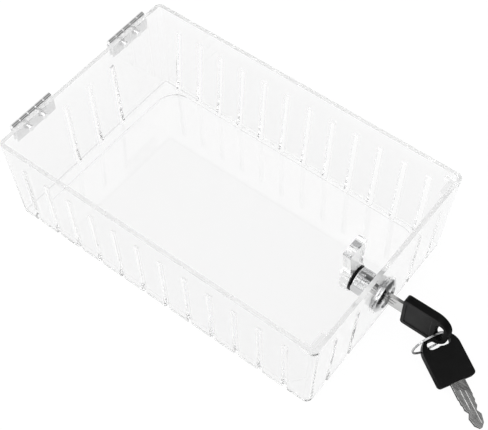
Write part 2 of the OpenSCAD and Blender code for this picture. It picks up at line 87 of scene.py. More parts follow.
class Tree:
    """Node tree of a material or world, with short calls for the nodes that several of them share."""

    def __init__(self, owner: bpy.types.Material | bpy.types.World) -> None:
        """Empties the tree.

        Args:
            owner: Material or world that has the tree.
        """
        owner.use_nodes = True
        self.nodes = owner.node_tree.nodes
        self.links = owner.node_tree.links
        self.nodes.clear()

    def add(self, kind: str) -> bpy.types.Node:
        """Adds a node by the last part of its type's name."""
        return self.nodes.new("ShaderNode" + kind)

    def put(self, socket: Socket, value: Value) -> None:
        """Links a value to an input, or sets the input to a number.

        Args:
            socket: The input.
            value: Another node's output, or a number.
        """
        if isinstance(value, Socket):
            self.links.new(value, socket)
        else:
            socket.default_value = value

    def calc(self, operation: str, first: Value, second: Value) -> Socket:
        """Works out one number from two.

        Args:
            operation: Name of the Math node's operation.
            first: First number.
            second: Second number.

        Returns:
            The result.
        """
        node = self.add("Math")
        node.operation = operation
        self.put(node.inputs[0], first)
        self.put(node.inputs[1], second)
        return node.outputs[0]

    def along(self, vector: Socket, way: Point) -> Socket:
        """Measures a vector along a direction.

        Args:
            vector: The vector.
            way: The direction, of length 1.

        Returns:
            The length along the direction.
        """
        node = self.add("VectorMath")
        node.operation = "DOT_PRODUCT"
        node.inputs[1].default_value = way
        self.links.new(vector, node.inputs[0])
        return node.outputs["Value"]

    def span(self, value: Value, start: tuple[float, float], end: tuple[Value, Value],
             smooth: bool = False) -> Socket:
        """Maps a number from one range to another, and stops at the ends.

        Args:
            value: The number.
            start: Range that it comes from.
            end: Range that it goes to.
            smooth: Whether the ends are eased.

        Returns:
            The mapped number.
        """
        node = self.add("MapRange")
        if smooth:
            node.interpolation_type = "SMOOTHSTEP"
        for name, part in zip(("From Min", "From Max", "To Min", "To Max"), (*start, *end)):
            self.put(node.inputs[name], part)
        self.put(node.inputs["Value"], value)
        return node.outputs["Result"]


class Shading(Tree):
    """Node tree of one piece's material, around one surface shader."""

    NOISE_REACH = (0.3, 0.7)

    def __init__(self, name: str) -> None:
        """Makes a node material with only its surface shader.

        Args:
            name: Name of the material.
        """
        self.material = bpy.data.materials.new(name)
        super().__init__(self.material)
        self.surface = self.add("BsdfPrincipled")
        self.links.new(self.surface.outputs["BSDF"], self.add("OutputMaterial").inputs["Surface"])
        self.place = self.add("TexCoord").outputs["Object"]

    def noise(self, scale: float, detail: float = 3.0, stretch: Point = (1.0, 1.0, 1.0)) -> Socket:
        """Adds a noise over the piece's own coordinates.

        Args:
            scale: Cells to a metre.
            detail: Octaves of the noise.
            stretch: Scale of each axis before the noise is read.

        Returns:
            The noise's value, from 0 to 1.
        """
        mapping = self.add("Mapping")
        mapping.inputs["Scale"].default_value = stretch
        self.links.new(self.place, mapping.inputs["Vector"])
        texture = self.add("TexNoise")
        texture.inputs["Scale"].default_value = scale
        texture.inputs["Detail"].default_value = detail
        self.links.new(mapping.outputs["Vector"], texture.inputs["Vector"])
        return texture.outputs["Fac"]

    def polish(self, noise: Socket, smooth: float, rough: float) -> None:
        """Lets the roughness vary between two values with a noise."""
        roughness = self.span(noise, self.NOISE_REACH, (smooth, rough))
        self.links.new(roughness, self.surface.inputs["Roughness"])

    def tint(self, noise: Socket, dark: Point, light: Point) -> None:
        """Lets the colour vary between two colours with a noise.

        Args:
            noise: The noise, from 0 to 1.
            dark: Colour at 0.
            light: Colour at 1.
        """
        mix = self.add("Mix")
        mix.data_type = "RGBA"
        mix.inputs["A"].default_value = (*dark, 1.0)
        mix.inputs["B"].default_value = (*light, 1.0)
        self.links.new(noise, mix.inputs["Factor"])
        self.links.new(mix.outputs["Result"], self.surface.inputs["Base Color"])

    def bump(self, height: Socket, strength: float, distance: float) -> None:
        """Bends the surface normal by a height.

        Args:
            height: Height from 0 to 1.
            strength: Strength of the bump.
            distance: Height of the bump in metres.
        """
        node = self.add("Bump")
        node.inputs["Strength"].default_value = strength
        node.inputs["Distance"].default_value = distance
        self.links.new(height, node.inputs["Height"])
        self.links.new(node.outputs["Normal"], self.surface.inputs["Normal"])

    def set(self, **values: float | tuple) -> None:
        """Sets sockets of the surface shader by their names, with _ for a space."""
        for key, value in values.items():
            self.surface.inputs[key.replace("_", " ")].default_value = value


@dataclass(frozen=True)
class ClearPlastic:
    """Colourless moulded plastic, clear on its faces and a little frosted where it was trimmed."""

    name: str
    tone: float
    clarity: float = 1.0
    polish: tuple[float, float] = (0.012, 0.035)
    polish_scale: float = 90.0
    index: float = 1.49
    ripple_scale: float = 22.0
    ripple_detail: float = 2.0
    ripple_strength: float = 0.25
    ripple: float = 0.08 * MM

    def make(self) -> bpy.types.Material:
        """Builds the material.

        Returns:
            A clear material with faint moulding ripple.
        """
        shading = Shading(self.name)
        shading.set(Base_Color=(self.tone, self.tone, self.tone, 1.0), IOR=self.index,
                    Transmission_Weight=self.clarity)
        shading.polish(shading.noise(self.polish_scale), *self.polish)
        ripple = shading.noise(self.ripple_scale, self.ripple_detail)
        shading.bump(ripple, self.ripple_strength, self.ripple)
        return shading.material


@dataclass(frozen=True)
class PlatedMetal:
    """Plated or bare metal with a fine grain along one axis, dulled where its metal share is below 1."""

    name: str
    dark: Point
    light: Point
    polish: tuple[float, float]
    metal: float = 1.0
    cloud_scale: float = 140.0
    grain_scale: float = 900.0
    grain_detail: float = 4.0
    grain_stretch: Point = (1.0, 1.0, 1.0)
    grain_strength: float = 0.35
    grain: float = 0.02 * MM

    def make(self) -> bpy.types.Material:
        """Builds the material.

        Returns:
            A metal whose tone and polish vary a little over the surface.
        """
        shading = Shading(self.name)
        shading.set(Metallic=self.metal)
        shading.tint(shading.noise(self.cloud_scale), self.dark, self.light)
        fine = shading.noise(self.grain_scale, self.grain_detail, self.grain_stretch)
        shading.polish(fine, *self.polish)
        shading.bump(fine, self.grain_strength, self.grain)
        return shading.material


@dataclass(frozen=True)
class MouldedPlastic:
    """Opaque moulded plastic with a fine spark-eroded grain."""

    name: str
    dark: Point
    light: Point
    polish: tuple[float, float] = (0.3, 0.42)
    polish_scale: float = 320.0
    index: float = 1.5
    shine: float = 0.12
    cloud_scale: float = 240.0
    grain_scale: float = 2600.0
    grain_detail: float = 2.0
    grain_strength: float = 0.3
    grain: float = 0.03 * MM

    def make(self) -> bpy.types.Material:
        """Builds the material.

        Returns:
            A plastic with grain and faint rubbing marks.
        """
        shading = Shading(self.name)
        shading.set(IOR=self.index, Specular_IOR_Level=self.shine)
        shading.tint(shading.noise(self.cloud_scale), self.dark, self.light)
        shading.polish(shading.noise(self.polish_scale), *self.polish)
        shading.bump(shading.noise(self.grain_scale, self.grain_detail), self.grain_strength, self.grain)
        return shading.material


SLOT_FINISHES = {
    Slot.CLEAR: ClearPlastic("clear_plastic", 0.998),
    Slot.STEEL: PlatedMetal("bright_zinc", (0.93, 0.93, 0.935), (0.98, 0.98, 0.98), (0.1, 0.16),
                            metal=0.85, grain_stretch=(1.0, 0.1, 1.0), grain=0.006 * MM),
    Slot.CHROME: PlatedMetal("polished_chrome", (0.56, 0.565, 0.57), (0.66, 0.66, 0.665), (0.03, 0.08)),
    Slot.BRASS: PlatedMetal("plain_brass", (0.6, 0.44, 0.17), (0.75, 0.58, 0.26), (0.2, 0.36)),
    Slot.KEY: PlatedMetal("nickel_key", (0.48, 0.48, 0.48), (0.66, 0.66, 0.65), (0.12, 0.24),
                          grain_stretch=(0.12, 1.0, 1.0)),
    Slot.BLACK: MouldedPlastic("black_head", (0.004, 0.004, 0.004), (0.008, 0.008, 0.008)),
}
ZONE_FINISHES = {
    ShellZone.FLOOR: SLOT_FINISHES[Slot.CLEAR],
    # Painted shade: the walls take a darker tint than the floor of the same plastic
    ShellZone.WALL: ClearPlastic("clear_wall", 0.95),
    ShellZone.RIM: ClearPlastic("trimmed_rim", 0.94, clarity=0.6, polish=(0.2, 0.3)),
    ShellZone.SLOT: ClearPlastic("slot_side", 0.985, clarity=0.99, polish=(0.05, 0.1)),
    ShellZone.STEP: ClearPlastic("floor_step", 0.94, clarity=0.76, polish=(0.15, 0.25)),
}
CAM_FINISH = ClearPlastic("cam_plastic", 0.85, polish=(0.05, 0.09))


class Bench:
    """Modelling calls that several pieces share. Sizes are in metres."""

    WELD = 0.002 * MM
    FLAT_DEGREES = 0.6
    NORMAL_WEIGHT = 80

    @staticmethod
    def clear_selection() -> None:
        """Leaves edit mode and deselects everything."""
        if bpy.context.object is not None and bpy.context.object.mode != "OBJECT":
            bpy.ops.object.mode_set(mode="OBJECT")
        bpy.ops.object.select_all(action="DESELECT")

    @staticmethod
    def only(piece: bpy.types.Object) -> None:
        """Makes one piece the only selected and active one.

        Args:
            piece: The piece to select.
        """
        Bench.clear_selection()
        piece.select_set(True)
        bpy.context.view_layer.objects.active = piece

    @staticmethod
    def settle() -> None:
        """Moves the active piece's place, turn and scale into its mesh."""
        bpy.ops.object.transform_apply(location=True, rotation=True, scale=True)

    @staticmethod
    def block(name: str, low: Point, high: Point) -> bpy.types.Object:
        """Adds a block between two corners, its place in its mesh.

        Args:
            name: Name of the object.
            low: Lowest corner.
            high: Highest corner.

        Returns:
            The block.
        """
        Bench.clear_selection()
        middle = [(end + start) / 2 for start, end in zip(low, high)]
        bpy.ops.mesh.primitive_cube_add(size=1.0, location=middle)
        piece = bpy.context.object
        piece.name = name
        piece.scale = [end - start for start, end in zip(low, high)]
        Bench.settle()
        return piece

    @staticmethod
    def rod(name: str, radius: float, start: Point, length: float, sides: int) -> bpy.types.Object:
        """Adds a round rod that starts at a point and runs along +X.

        Args:
            name: Name of the object.
            radius: Radius of the rod.
            start: Middle of its first end.
            length: Length of the rod.
            sides: Sides of the round.

        Returns:
            The rod, its place in its mesh.
        """
        Bench.clear_selection()
        bpy.ops.mesh.primitive_cylinder_add(vertices=sides, radius=radius, depth=length,
                                            location=(0, 0, length / 2))
        piece = bpy.context.object
        piece.name = name
        Bench.settle()
        piece.rotation_euler = (0, math.pi / 2, 0)
        piece.location = start
        Bench.settle()
        return piece

    @staticmethod
    def pick(piece: bpy.types.Object, kind: str, test: Callable) -> None:
        """Opens a piece in edit mode with only some of its elements selected.

        Args:
            piece: The piece to open.
            kind: VERT, EDGE or FACE.
            test: Takes a vertex, an edge's two vertices or a face, and says whether it is wanted.
        """
        Bench.only(piece)
        bpy.ops.object.mode_set(mode="EDIT")
        bpy.ops.mesh.select_mode(type=kind)
        bpy.ops.mesh.select_all(action="DESELECT")
        bpy.ops.object.mode_set(mode="OBJECT")
        mesh = piece.data
        if kind == "VERT":
            for vertex in mesh.vertices:
                vertex.select = test(vertex.co)
        elif kind == "EDGE":
            for edge in mesh.edges:
                edge.select = test(*(mesh.vertices[i].co for i in edge.vertices))
        else:
            for face in mesh.polygons:
                face.select = test(face)
        bpy.ops.object.mode_set(mode="EDIT")

    @staticmethod
    def close() -> None:
        """Leaves edit mode."""
        bpy.ops.object.mode_set(mode="OBJECT")

    @staticmethod
    def round_edges(piece: bpy.types.Object, radius: float, steps: int, test: Callable) -> None:
        """Rounds some of a piece's edges.

        Args:
            piece: The piece to change.
            radius: Radius of the rounding.
            steps: Faces along the rounding.
            test: Takes an edge's two vertices and says whether it is rounded.
        """
        Bench.pick(piece, "EDGE", test)
        bpy.ops.mesh.bevel(offset=radius, offset_type="OFFSET", segments=steps, profile=0.5, affect="EDGES")
        Bench.close()

    @staticmethod
    def apply(piece: bpy.types.Object, kind: str, **values: object) -> None:
        """Adds a modifier, sets it and applies it.

        Args:
            piece: The piece to finish.
            kind: Type of the modifier.
            **values: Its settings.
        """
        Bench.only(piece)
        modifier = piece.modifiers.new(kind.lower(), kind)
        for key, value in values.items():
            setattr(modifier, key, value)
        bpy.ops.object.modifier_apply(modifier=modifier.name)

    @staticmethod
    def soften(piece: bpy.types.Object, radius: float, steps: int, degrees: float) -> None:
        """Rounds every edge of a piece that is sharper than an angle.

        Args:
            piece: The piece to finish.
            radius: Radius of the rounding.
            steps: Faces along the rounding.
            degrees: Angle between two faces from which their edge is rounded.
        """
        Bench.apply(piece, "BEVEL", width=radius, segments=steps, limit_method="ANGLE",
                    angle_limit=math.radians(degrees), use_clamp_overlap=True)

    @staticmethod
    def join(pieces: list[bpy.types.Object], name: str) -> bpy.types.Object:
        """Joins pieces to one object.

        Args:
            pieces: The pieces, of which the first keeps its object.
            name: Name of the result.

        Returns:
            The joined object.
        """
        Bench.only(pieces[0])
        for piece in pieces:
            piece.select_set(True)
        bpy.ops.object.join()
        bpy.context.object.name = name
        return bpy.context.object

    @staticmethod
    def carve(piece: bpy.types.Object, tool: bpy.types.Object, operation: str) -> None:
        """Cuts a tool out of a piece, or adds it, and removes the tool.

        Args:
            piece: The piece to change.
            tool: The shape to cut or to add.
            operation: DIFFERENCE or UNION.
        """
        Bench.apply(piece, "BOOLEAN", operation=operation, solver="EXACT", object=tool)
        bpy.data.objects.remove(tool, do_unlink=True)

    @staticmethod
    def smooth(piece: bpy.types.Object, degrees: float) -> None:
        """Shades a piece smooth and keeps its broad faces flat.

        Args:
            piece: The piece to finish.
            degrees: Angle between two faces up to which their edge is smooth.
        """
        Bench.only(piece)
        bpy.ops.object.shade_smooth_by_angle(angle=math.radians(degrees))
        Bench.apply(piece, "WEIGHTED_NORMAL", weight=Bench.NORMAL_WEIGHT, keep_sharp=True)

    @staticmethod
    def copy_node(node: str, name: str) -> bpy.types.Object:
        """Copies a CAD node to a piece with clean flat faces.

        Args:
            node: Name of the CAD node.
            name: Name of the piece.

        Returns:
            The copy, with its triangles joined to faces.
        """
        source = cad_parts[node]
        piece = bpy.data.objects.new(name, source.data.copy())
        bpy.context.scene.collection.objects.link(piece)
        Bench.only(piece)
        bpy.ops.object.mode_set(mode="EDIT")
        bpy.ops.mesh.select_all(action="SELECT")
        bpy.ops.mesh.remove_doubles(threshold=Bench.WELD)
        bpy.ops.mesh.dissolve_limited(angle_limit=math.radians(Bench.FLAT_DEGREES))
        Bench.close()
        return piece


class Finishes:
    """The finishes of the box, made once and shared by its pieces."""

    def __init__(self) -> None:
        """Makes every material."""
        kinds = dict.fromkeys((*SLOT_FINISHES.values(), *ZONE_FINISHES.values(), CAM_FINISH))
        made = {finish: finish.make() for finish in kinds}
        self.by_slot = {slot: made[finish] for slot, finish in SLOT_FINISHES.items()}
        self.by_zone = {zone: made[finish] for zone, finish in ZONE_FINISHES.items()}
        self.cam = made[CAM_FINISH]

    def dress(self, piece: bpy.types.Object, slot: Slot) -> None:
        """Gives a piece the finish of a slot."""
        self.coat(piece, self.by_slot[slot])

    @staticmethod
    def coat(piece: bpy.types.Object, *materials: bpy.types.Material) -> None:
        """Gives a piece new materials in place of the ones it has.

        Args:
            piece: The piece to dress.
            *materials: Its materials, in the order of its slots.
        """
        piece.data.materials.clear()
        for material in materials:
            piece.data.materials.append(material)


class Piece:
    """What every finished piece is told about the frame."""

    @staticmethod
    def enter(piece: bpy.types.Object, body: Body, slot: Slot, node: str) -> None:
        """Puts a piece on its body in place of a CAD node.

        Args:
            piece: The finished piece.
            body: The body that it rides on.
            slot: The record's slot of its finish; not used.
            node: The CAD node that it stands for.
        """
        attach(piece, body.value)
        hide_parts(node)


@dataclass
class ShellSizes:
    """Sizes of the moulded shell, in metres and degrees."""

    length: float = 210 * MM
    width: float = 135 * MM
    height: float = 62.5 * MM
    wall: float = 2.5 * MM
    draft: float = 3.0
    corner: float = 4 * MM
    corner_steps: int = 10
    edge: float = 3 * MM
    edge_steps: int = 8
    slot_width: float = 3.4 * MM
    slot_top: float = 49 * MM
    slot_pitch: float = 15.9 * MM
    slot_first: float = 16.5 * MM
    slot_count: int = 12
    slot_margin: float = 4 * MM
    lock_side_slots: int = 2
    end_pitch: float = 19.6 * MM
    lock_bay: float = 28.5 * MM
    hinge_shift: float = 1.2 * MM
    notch: float = 0.6 * MM
    panel_gap_x: float = 7 * MM
    panel_gap_y: float = 2.4 * MM
    panel_corner: float = 13 * MM
    panel_corner_steps: int = 14
    panel_step: float = 0.6 * MM
    ledge_x: float = 8 * MM
    ledge_y: float = 13.7 * MM
    ledge_bar: float = 3.6 * MM
    ledge_thick: float = 2 * MM
    ledge_drop: float = 3 * MM
    seat_radius: float = 11 * MM
    seat_in: float = 100.05 * MM
    seat_out: float = 104.309 * MM
    hole_radius: float = 7.55 * MM
    hole_flat: float = 6.85 * MM
    round_sides: int = 96
    rivet_radius: float = 1.25 * MM
    rivet_ys: tuple[float, ...] = (-45 * MM, -34 * MM, 34 * MM, 45 * MM)
    rivet_z: float = 56.7 * MM
    rivet_bore: float = 5 * MM
    rivet_sides: int = 24
    soft_edge: float = 0.4 * MM
    soft_steps: int = 3
    soft_degrees: float = 40.0
    rim_band: float = 0.48 * MM
    past: float = 1 * MM

    def inset(self, z: float) -> float:
        """Says how far the outside lies inside the rim at a height."""
        return (self.height - z) * math.tan(math.radians(self.draft))

    def panel_half(self) -> tuple[float, float]:
        """Says half the length and half the width of the window panel."""
        rest = self.inset(self.wall) + self.wall
        return self.length / 2 - rest - self.panel_gap_x, self.width / 2 - rest - self.panel_gap_y


@dataclass
class Shell:
    """The clear moulded box with its slots, panel step, ledges and lock seat."""

    sizes: ShellSizes

    # Share of a face's normal along Z, or along a wall, that tells the zones apart
    LEVEL = 0.97
    FLAT = 0.7
    TURNED = 0.3
    SLOPED = 0.12
    UPRIGHT = 0.1

    def build(self) -> bpy.types.Object:
        """Models the shell.

        Returns:
            The finished shell.
        """
        s = self.sizes
        shell = self._tray()
        Bench.carve(shell, self._ledges(), "UNION")
        Bench.carve(shell, self._seat(), "UNION")
        for cutter in (self._panel, self._hole, self._rivet_holes, self._slots):
            Bench.carve(shell, cutter(), "DIFFERENCE")
        Bench.soften(shell, s.soft_edge, s.soft_steps, s.soft_degrees)
        Bench.smooth(shell, s.soft_degrees)
        return shell

    def dress(self, shell: bpy.types.Object, finishes: Finishes) -> None:
        """Gives each zone of the shell its own clear or frosted finish.

        Args:
            shell: The finished shell.
            finishes: The shared finishes.
        """
        finishes.coat(shell, *(finishes.by_zone[zone] for zone in ShellZone))
        for zone in ShellZone:
            Bench.pick(shell, "FACE", lambda face: self._zone(face) is zone)
            shell.active_material_index = zone.value
            bpy.ops.object.material_slot_assign()
            Bench.close()
        Piece.enter(shell, Body.COVER, Slot.CLEAR, "cover_shell")

    def _zone(self, face: bpy.types.MeshPolygon) -> ShellZone:
        """Tells the zones of the finished shell apart.

        Args:
            face: A face of the shell.

        Returns:
            The zone that the face belongs to.
        """
        s = self.sizes
        middle, normal = face.center, face.normal
        if middle.z > s.height - s.rim_band:
            return ShellZone.RIM
        if self._on_step(middle, normal):
            return ShellZone.STEP
        if middle.z < s.wall + s.soft_edge or abs(normal.z) > self.FLAT and middle.z < s.slot_top / 2:
            return ShellZone.FLOOR
        return ShellZone.SLOT if self._on_slot(middle, normal) else ShellZone.WALL

    def _on_step(self, middle: Vector, normal: Vector) -> bool:
        """Finds the frosted lines of the floor.

        Args:
            middle: Middle of a face.
            normal: Its normal.

        Returns:
            Whether it is on the panel's step or in the fillet around the floor.
        """
        s = self.sizes
        if self.SLOPED < normal.z < self.LEVEL and middle.z < s.wall + s.edge:
            return True
        half_x, half_y = s.panel_half()
        in_panel = abs(middle.x) < half_x + s.soft_edge and abs(middle.y) < half_y + s.soft_edge
        in_depth = s.wall - s.panel_step - s.soft_edge < middle.z < s.wall
        return in_panel and in_depth and -self.UPRIGHT < normal.z < self.LEVEL

    def _on_slot(self, middle: Vector, normal: Vector) -> bool:
        """Finds the cut faces of the vent slots.

        Args:
            middle: Middle of a face.
            normal: Its normal.

        Returns:
            Whether it is one of a slot's sides or its top.
        """
        s = self.sizes
        reach = s.wall + s.inset(0) + s.soft_edge
        slots_end = s.length / 2 - s.slot_first + s.slot_margin
        on_long = abs(middle.y) > s.width / 2 - reach and abs(middle.x) < slots_end
        on_end = abs(middle.x) > s.length / 2 - reach and abs(middle.y) < s.width / 2 - s.ledge_y
        from_lock = math.hypot(middle.y - LOCK_Y, middle.z - LOCK_Z)
        if not (on_long or on_end) or middle.x > 0 and from_lock < s.seat_radius + s.past:
            return False
        across = abs(normal.x) if on_long else abs(normal.y)
        at_top = normal.z < -self.TURNED and abs(middle.z - s.slot_top) < s.soft_edge
        return middle.z < s.slot_top + s.soft_edge and (across > self.TURNED or at_top)

    def _tray(self) -> bpy.types.Object:
        """Makes the drafted tray with round corners and its wall thickness.

        Returns:
            The tray, open at its top.
        """
        s = self.sizes
        tray = Bench.block("shell", (-s.length / 2, -s.width / 2, 0), (s.length / 2, s.width / 2, s.height))
        foot = s.inset(0)
        Bench.pick(tray, "VERT", lambda co: co.z < s.height / 2)
        bpy.ops.transform.resize(value=(1 - 2 * foot / s.length, 1 - 2 * foot / s.width, 1),
                                 center_override=(0, 0, 0))
        Bench.close()
        Bench.round_edges(tray, s.corner, s.corner_steps, lambda a, b: abs(a.z - b.z) > s.height / 2)
        Bench.round_edges(tray, s.edge, s.edge_steps, lambda a, b: max(a.z, b.z) < HAIR)
        Bench.pick(tray, "FACE", lambda face: face.normal.z > self.LEVEL)
        bpy.ops.mesh.delete(type="ONLY_FACE")
        Bench.close()
        Bench.apply(tray, "SOLIDIFY", thickness=s.wall, offset=-1.0, use_even_offset=True, use_rim=True)
        return tray

    def _slots(self) -> bpy.types.Object:
        """Makes the cutters of all vent slots as one object.

        Returns:
            The cutters.
        """
        s = self.sizes
        low = -s.past
        half = s.slot_width / 2
        out_x, out_y = s.length / 2 + s.past, s.width / 2 + s.past
        deep = s.inset(0) + s.wall + s.notch
        deep_x, deep_y = s.length / 2 - deep, s.width / 2 - deep
        cutters = []
        for i in range(s.slot_count):
            x = -s.length / 2 + s.slot_first + i * s.slot_pitch
            for y0, y1 in ((-out_y, -deep_y), (deep_y, out_y)):
                cutters.append(Bench.block("slot", (x - half, y0, low), (x + half, y1, s.slot_top)))
        for side in (-1, 1):
            for i in range(s.lock_side_slots):
                y = side * (s.lock_bay + i * s.end_pitch)
                cutters.append(Bench.block("slot", (deep_x, y - half, low), (out_x, y + half, s.slot_top)))
        for i in (-1, 0, 1):
            y = s.hinge_shift + i * s.end_pitch
            cutters.append(Bench.block("slot", (-out_x, y - half, low), (-deep_x, y + half, s.slot_top)))
        return Bench.join(cutters, "slots")

    def _panel(self) -> bpy.types.Object:
        """Makes the cutter of the shallow window panel in the floor.

        Returns:
            The cutter.
        """
        s = self.sizes
        half_x, half_y = s.panel_half()
        panel = Bench.block("panel", (-half_x, -half_y, s.wall - s.panel_step),
                            (half_x, half_y, s.wall + s.past))
        Bench.round_edges(panel, s.panel_corner, s.panel_corner_steps,
                          lambda a, b: abs(a.z - b.z) > s.panel_step)
        return panel

    def _ledges(self) -> bpy.types.Object:
        """Makes the two L-shaped ledges in the lock end's corners.

        Returns:
            The ledges as one object.
        """
        s = self.sizes
        top = s.height - s.ledge_drop
        low = top - s.ledge_thick
        x1, y1 = s.length / 2 - s.wall / 2, s.width / 2 - s.wall / 2
        bar_x, foot_x = x1 - s.wall / 2 - s.ledge_bar, x1 - s.ledge_x
        ledges = []
        for side in (-1, 1):
            bar_y = sorted((side * y1, side * (y1 - s.ledge_y)))
            foot_y = sorted((side * y1, side * (y1 - s.ledge_bar)))
            bar = Bench.block("ledge", (bar_x, bar_y[0], low), (x1, bar_y[1], top))
            foot = Bench.block("ledge_foot", (foot_x, foot_y[0], low), (x1, foot_y[1], top))
            Bench.carve(bar, foot, "UNION")
            ledges.append(bar)
        return Bench.join(ledges, "ledges")

    def _seat(self) -> bpy.types.Object:
        """Makes the round flat seat of the lock on the end wall."""
        s = self.sizes
        return Bench.rod("seat", s.seat_radius, (s.seat_in, LOCK_Y, LOCK_Z), s.seat_out - s.seat_in,
                         s.round_sides)

    def _hole(self) -> bpy.types.Object:
        """Makes the cutter of the lock's hole, with its two flats.

        Returns:
            The cutter.
        """
        s = self.sizes
        hole = Bench.rod("hole", s.hole_radius, (s.seat_in - s.past, LOCK_Y, LOCK_Z),
                         s.seat_out - s.seat_in + 2 * s.past, s.round_sides)
        for side in (-1, 1):
            Bench.pick(hole, "VERT", lambda co: True)
            bpy.ops.mesh.bisect(plane_co=(0, LOCK_Y + side * s.hole_flat, 0), plane_no=(0, side, 0),
                                use_fill=True, clear_outer=True)
            Bench.close()
        return hole

    def _rivet_holes(self) -> bpy.types.Object:
        """Makes the cutters of the rivet holes in the hinge end.

        Returns:
            The cutters as one object.
        """
        s = self.sizes
        x0 = -s.length / 2 - s.past
        holes = [Bench.rod("rivet_hole", s.rivet_radius, (x0, y, s.rivet_z), s.rivet_bore, s.rivet_sides)
                 for y in s.rivet_ys]
        return Bench.join(holes, "rivet_holes")


@dataclass
class CamSizes:
    """Sizes of the clear cam behind the lock, in metres and degrees. Heights are from the lock's axis."""

    front: float = 86.059 * MM
    back: float = 81.059 * MM
    hub_radius: float = 8.5 * MM
    hub_sides: int = 128
    neck_half: float = 6 * MM
    neck_height: float = 14.85 * MM
    tip_half: float = 7.75 * MM
    reach: float = 27 * MM
    tip_corner: float = 0.8 * MM
    hole_half: float = 3.05 * MM
    soft_edge: float = 0.35 * MM
    soft_steps: int = 4
    soft_degrees: float = 25.0
    smooth_degrees: float = 30.0
    past: float = 1 * MM


@dataclass
class LockCam:
    """The clear plastic cam: round hub, narrow neck and flared tip."""

    sizes: CamSizes

    LEVEL = 0.9

    def build(self) -> bpy.types.Object:
        """Models the cam.

        Returns:
            The finished cam.
        """
        s = self.sizes
        flare_top = s.reach - s.tip_corner
        cam = Bench.block("cam_piece", (s.back, LOCK_Y - s.neck_half, LOCK_Z),
                          (s.front, LOCK_Y + s.neck_half, LOCK_Z + s.neck_height))
        self._rise(cam, LOCK_Z + s.neck_height, flare_top - s.neck_height, s.tip_half / s.neck_half)
        self._rise(cam, LOCK_Z + flare_top, s.tip_corner, 1 - s.tip_corner / s.tip_half)
        hub = Bench.rod("hub", s.hub_radius, (s.back, LOCK_Y, LOCK_Z), s.front - s.back, s.hub_sides)
        Bench.carve(cam, hub, "UNION")
        hole = Bench.block("tail_hole", (s.back - s.past, LOCK_Y - s.hole_half, LOCK_Z - s.hole_half),
                           (s.front + s.past, LOCK_Y + s.hole_half, LOCK_Z + s.hole_half))
        Bench.carve(cam, hole, "DIFFERENCE")
        Bench.soften(cam, s.soft_edge, s.soft_steps, s.soft_degrees)
        Bench.smooth(cam, s.smooth_degrees)
        return cam

    def _rise(self, cam: bpy.types.Object, top: float, height: float, widen: float) -> None:
        """Pulls the cam's top face up and changes its width.

        Args:
            cam: The cam so far.
            top: Height of its top face.
            height: How far the face is pulled up.
            widen: Factor of its width.
        """
        Bench.pick(cam, "FACE", lambda face: face.normal.z > self.LEVEL and abs(face.center.z - top) < HAIR)
        bpy.ops.mesh.extrude_region_move(TRANSFORM_OT_translate={"value": (0, 0, height)})
        bpy.ops.transform.resize(value=(1, widen, 1), center_override=(0, LOCK_Y, 0))
        Bench.close()

    def dress(self, cam: bpy.types.Object, finishes: Finishes) -> None:
        """Gives the cam its clear finish and its place.

        Args:
            cam: The finished cam.
            finishes: The shared finishes.
        """
        finishes.coat(cam, finishes.cam)
        Piece.enter(cam, Body.PLUG, Slot.CLEAR, "lock_cam")


@dataclass
class RingSizes:
    """Sizes and place of the split ring, in metres and degrees."""

    radius: float = 10 * MM
    thick: float = 0.9 * MM
    width: float = 1.6 * MM
    turns: int = 2
    turn: Point = (0.0, 81.8, 152.6)
    at_key: Point = (138.759 * MM, LOCK_Y, 29.8 * MM)
    key_around: float = 203.5
    steps: int = 120
    wire_round: float = 0.16 * MM
    round_steps: int = 3
    weld: float = 0.001 * MM
    smooth_degrees: float = 40.0

    def place(self) -> Matrix:
        """Works out where the ring lies.

        Returns:
            The turn and shift from a flat ring at the origin.
        """
        turn = Matrix.Identity(4)
        for angle, axis in zip(self.turn, "XYZ"):
            turn = Matrix.Rotation(math.radians(angle), 4, axis) @ turn
        around = math.radians(self.key_around)
        out = turn @ Vector((math.cos(around), math.sin(around), 0))
        return Matrix.Translation(Vector(self.at_key) - self.radius * out) @ turn


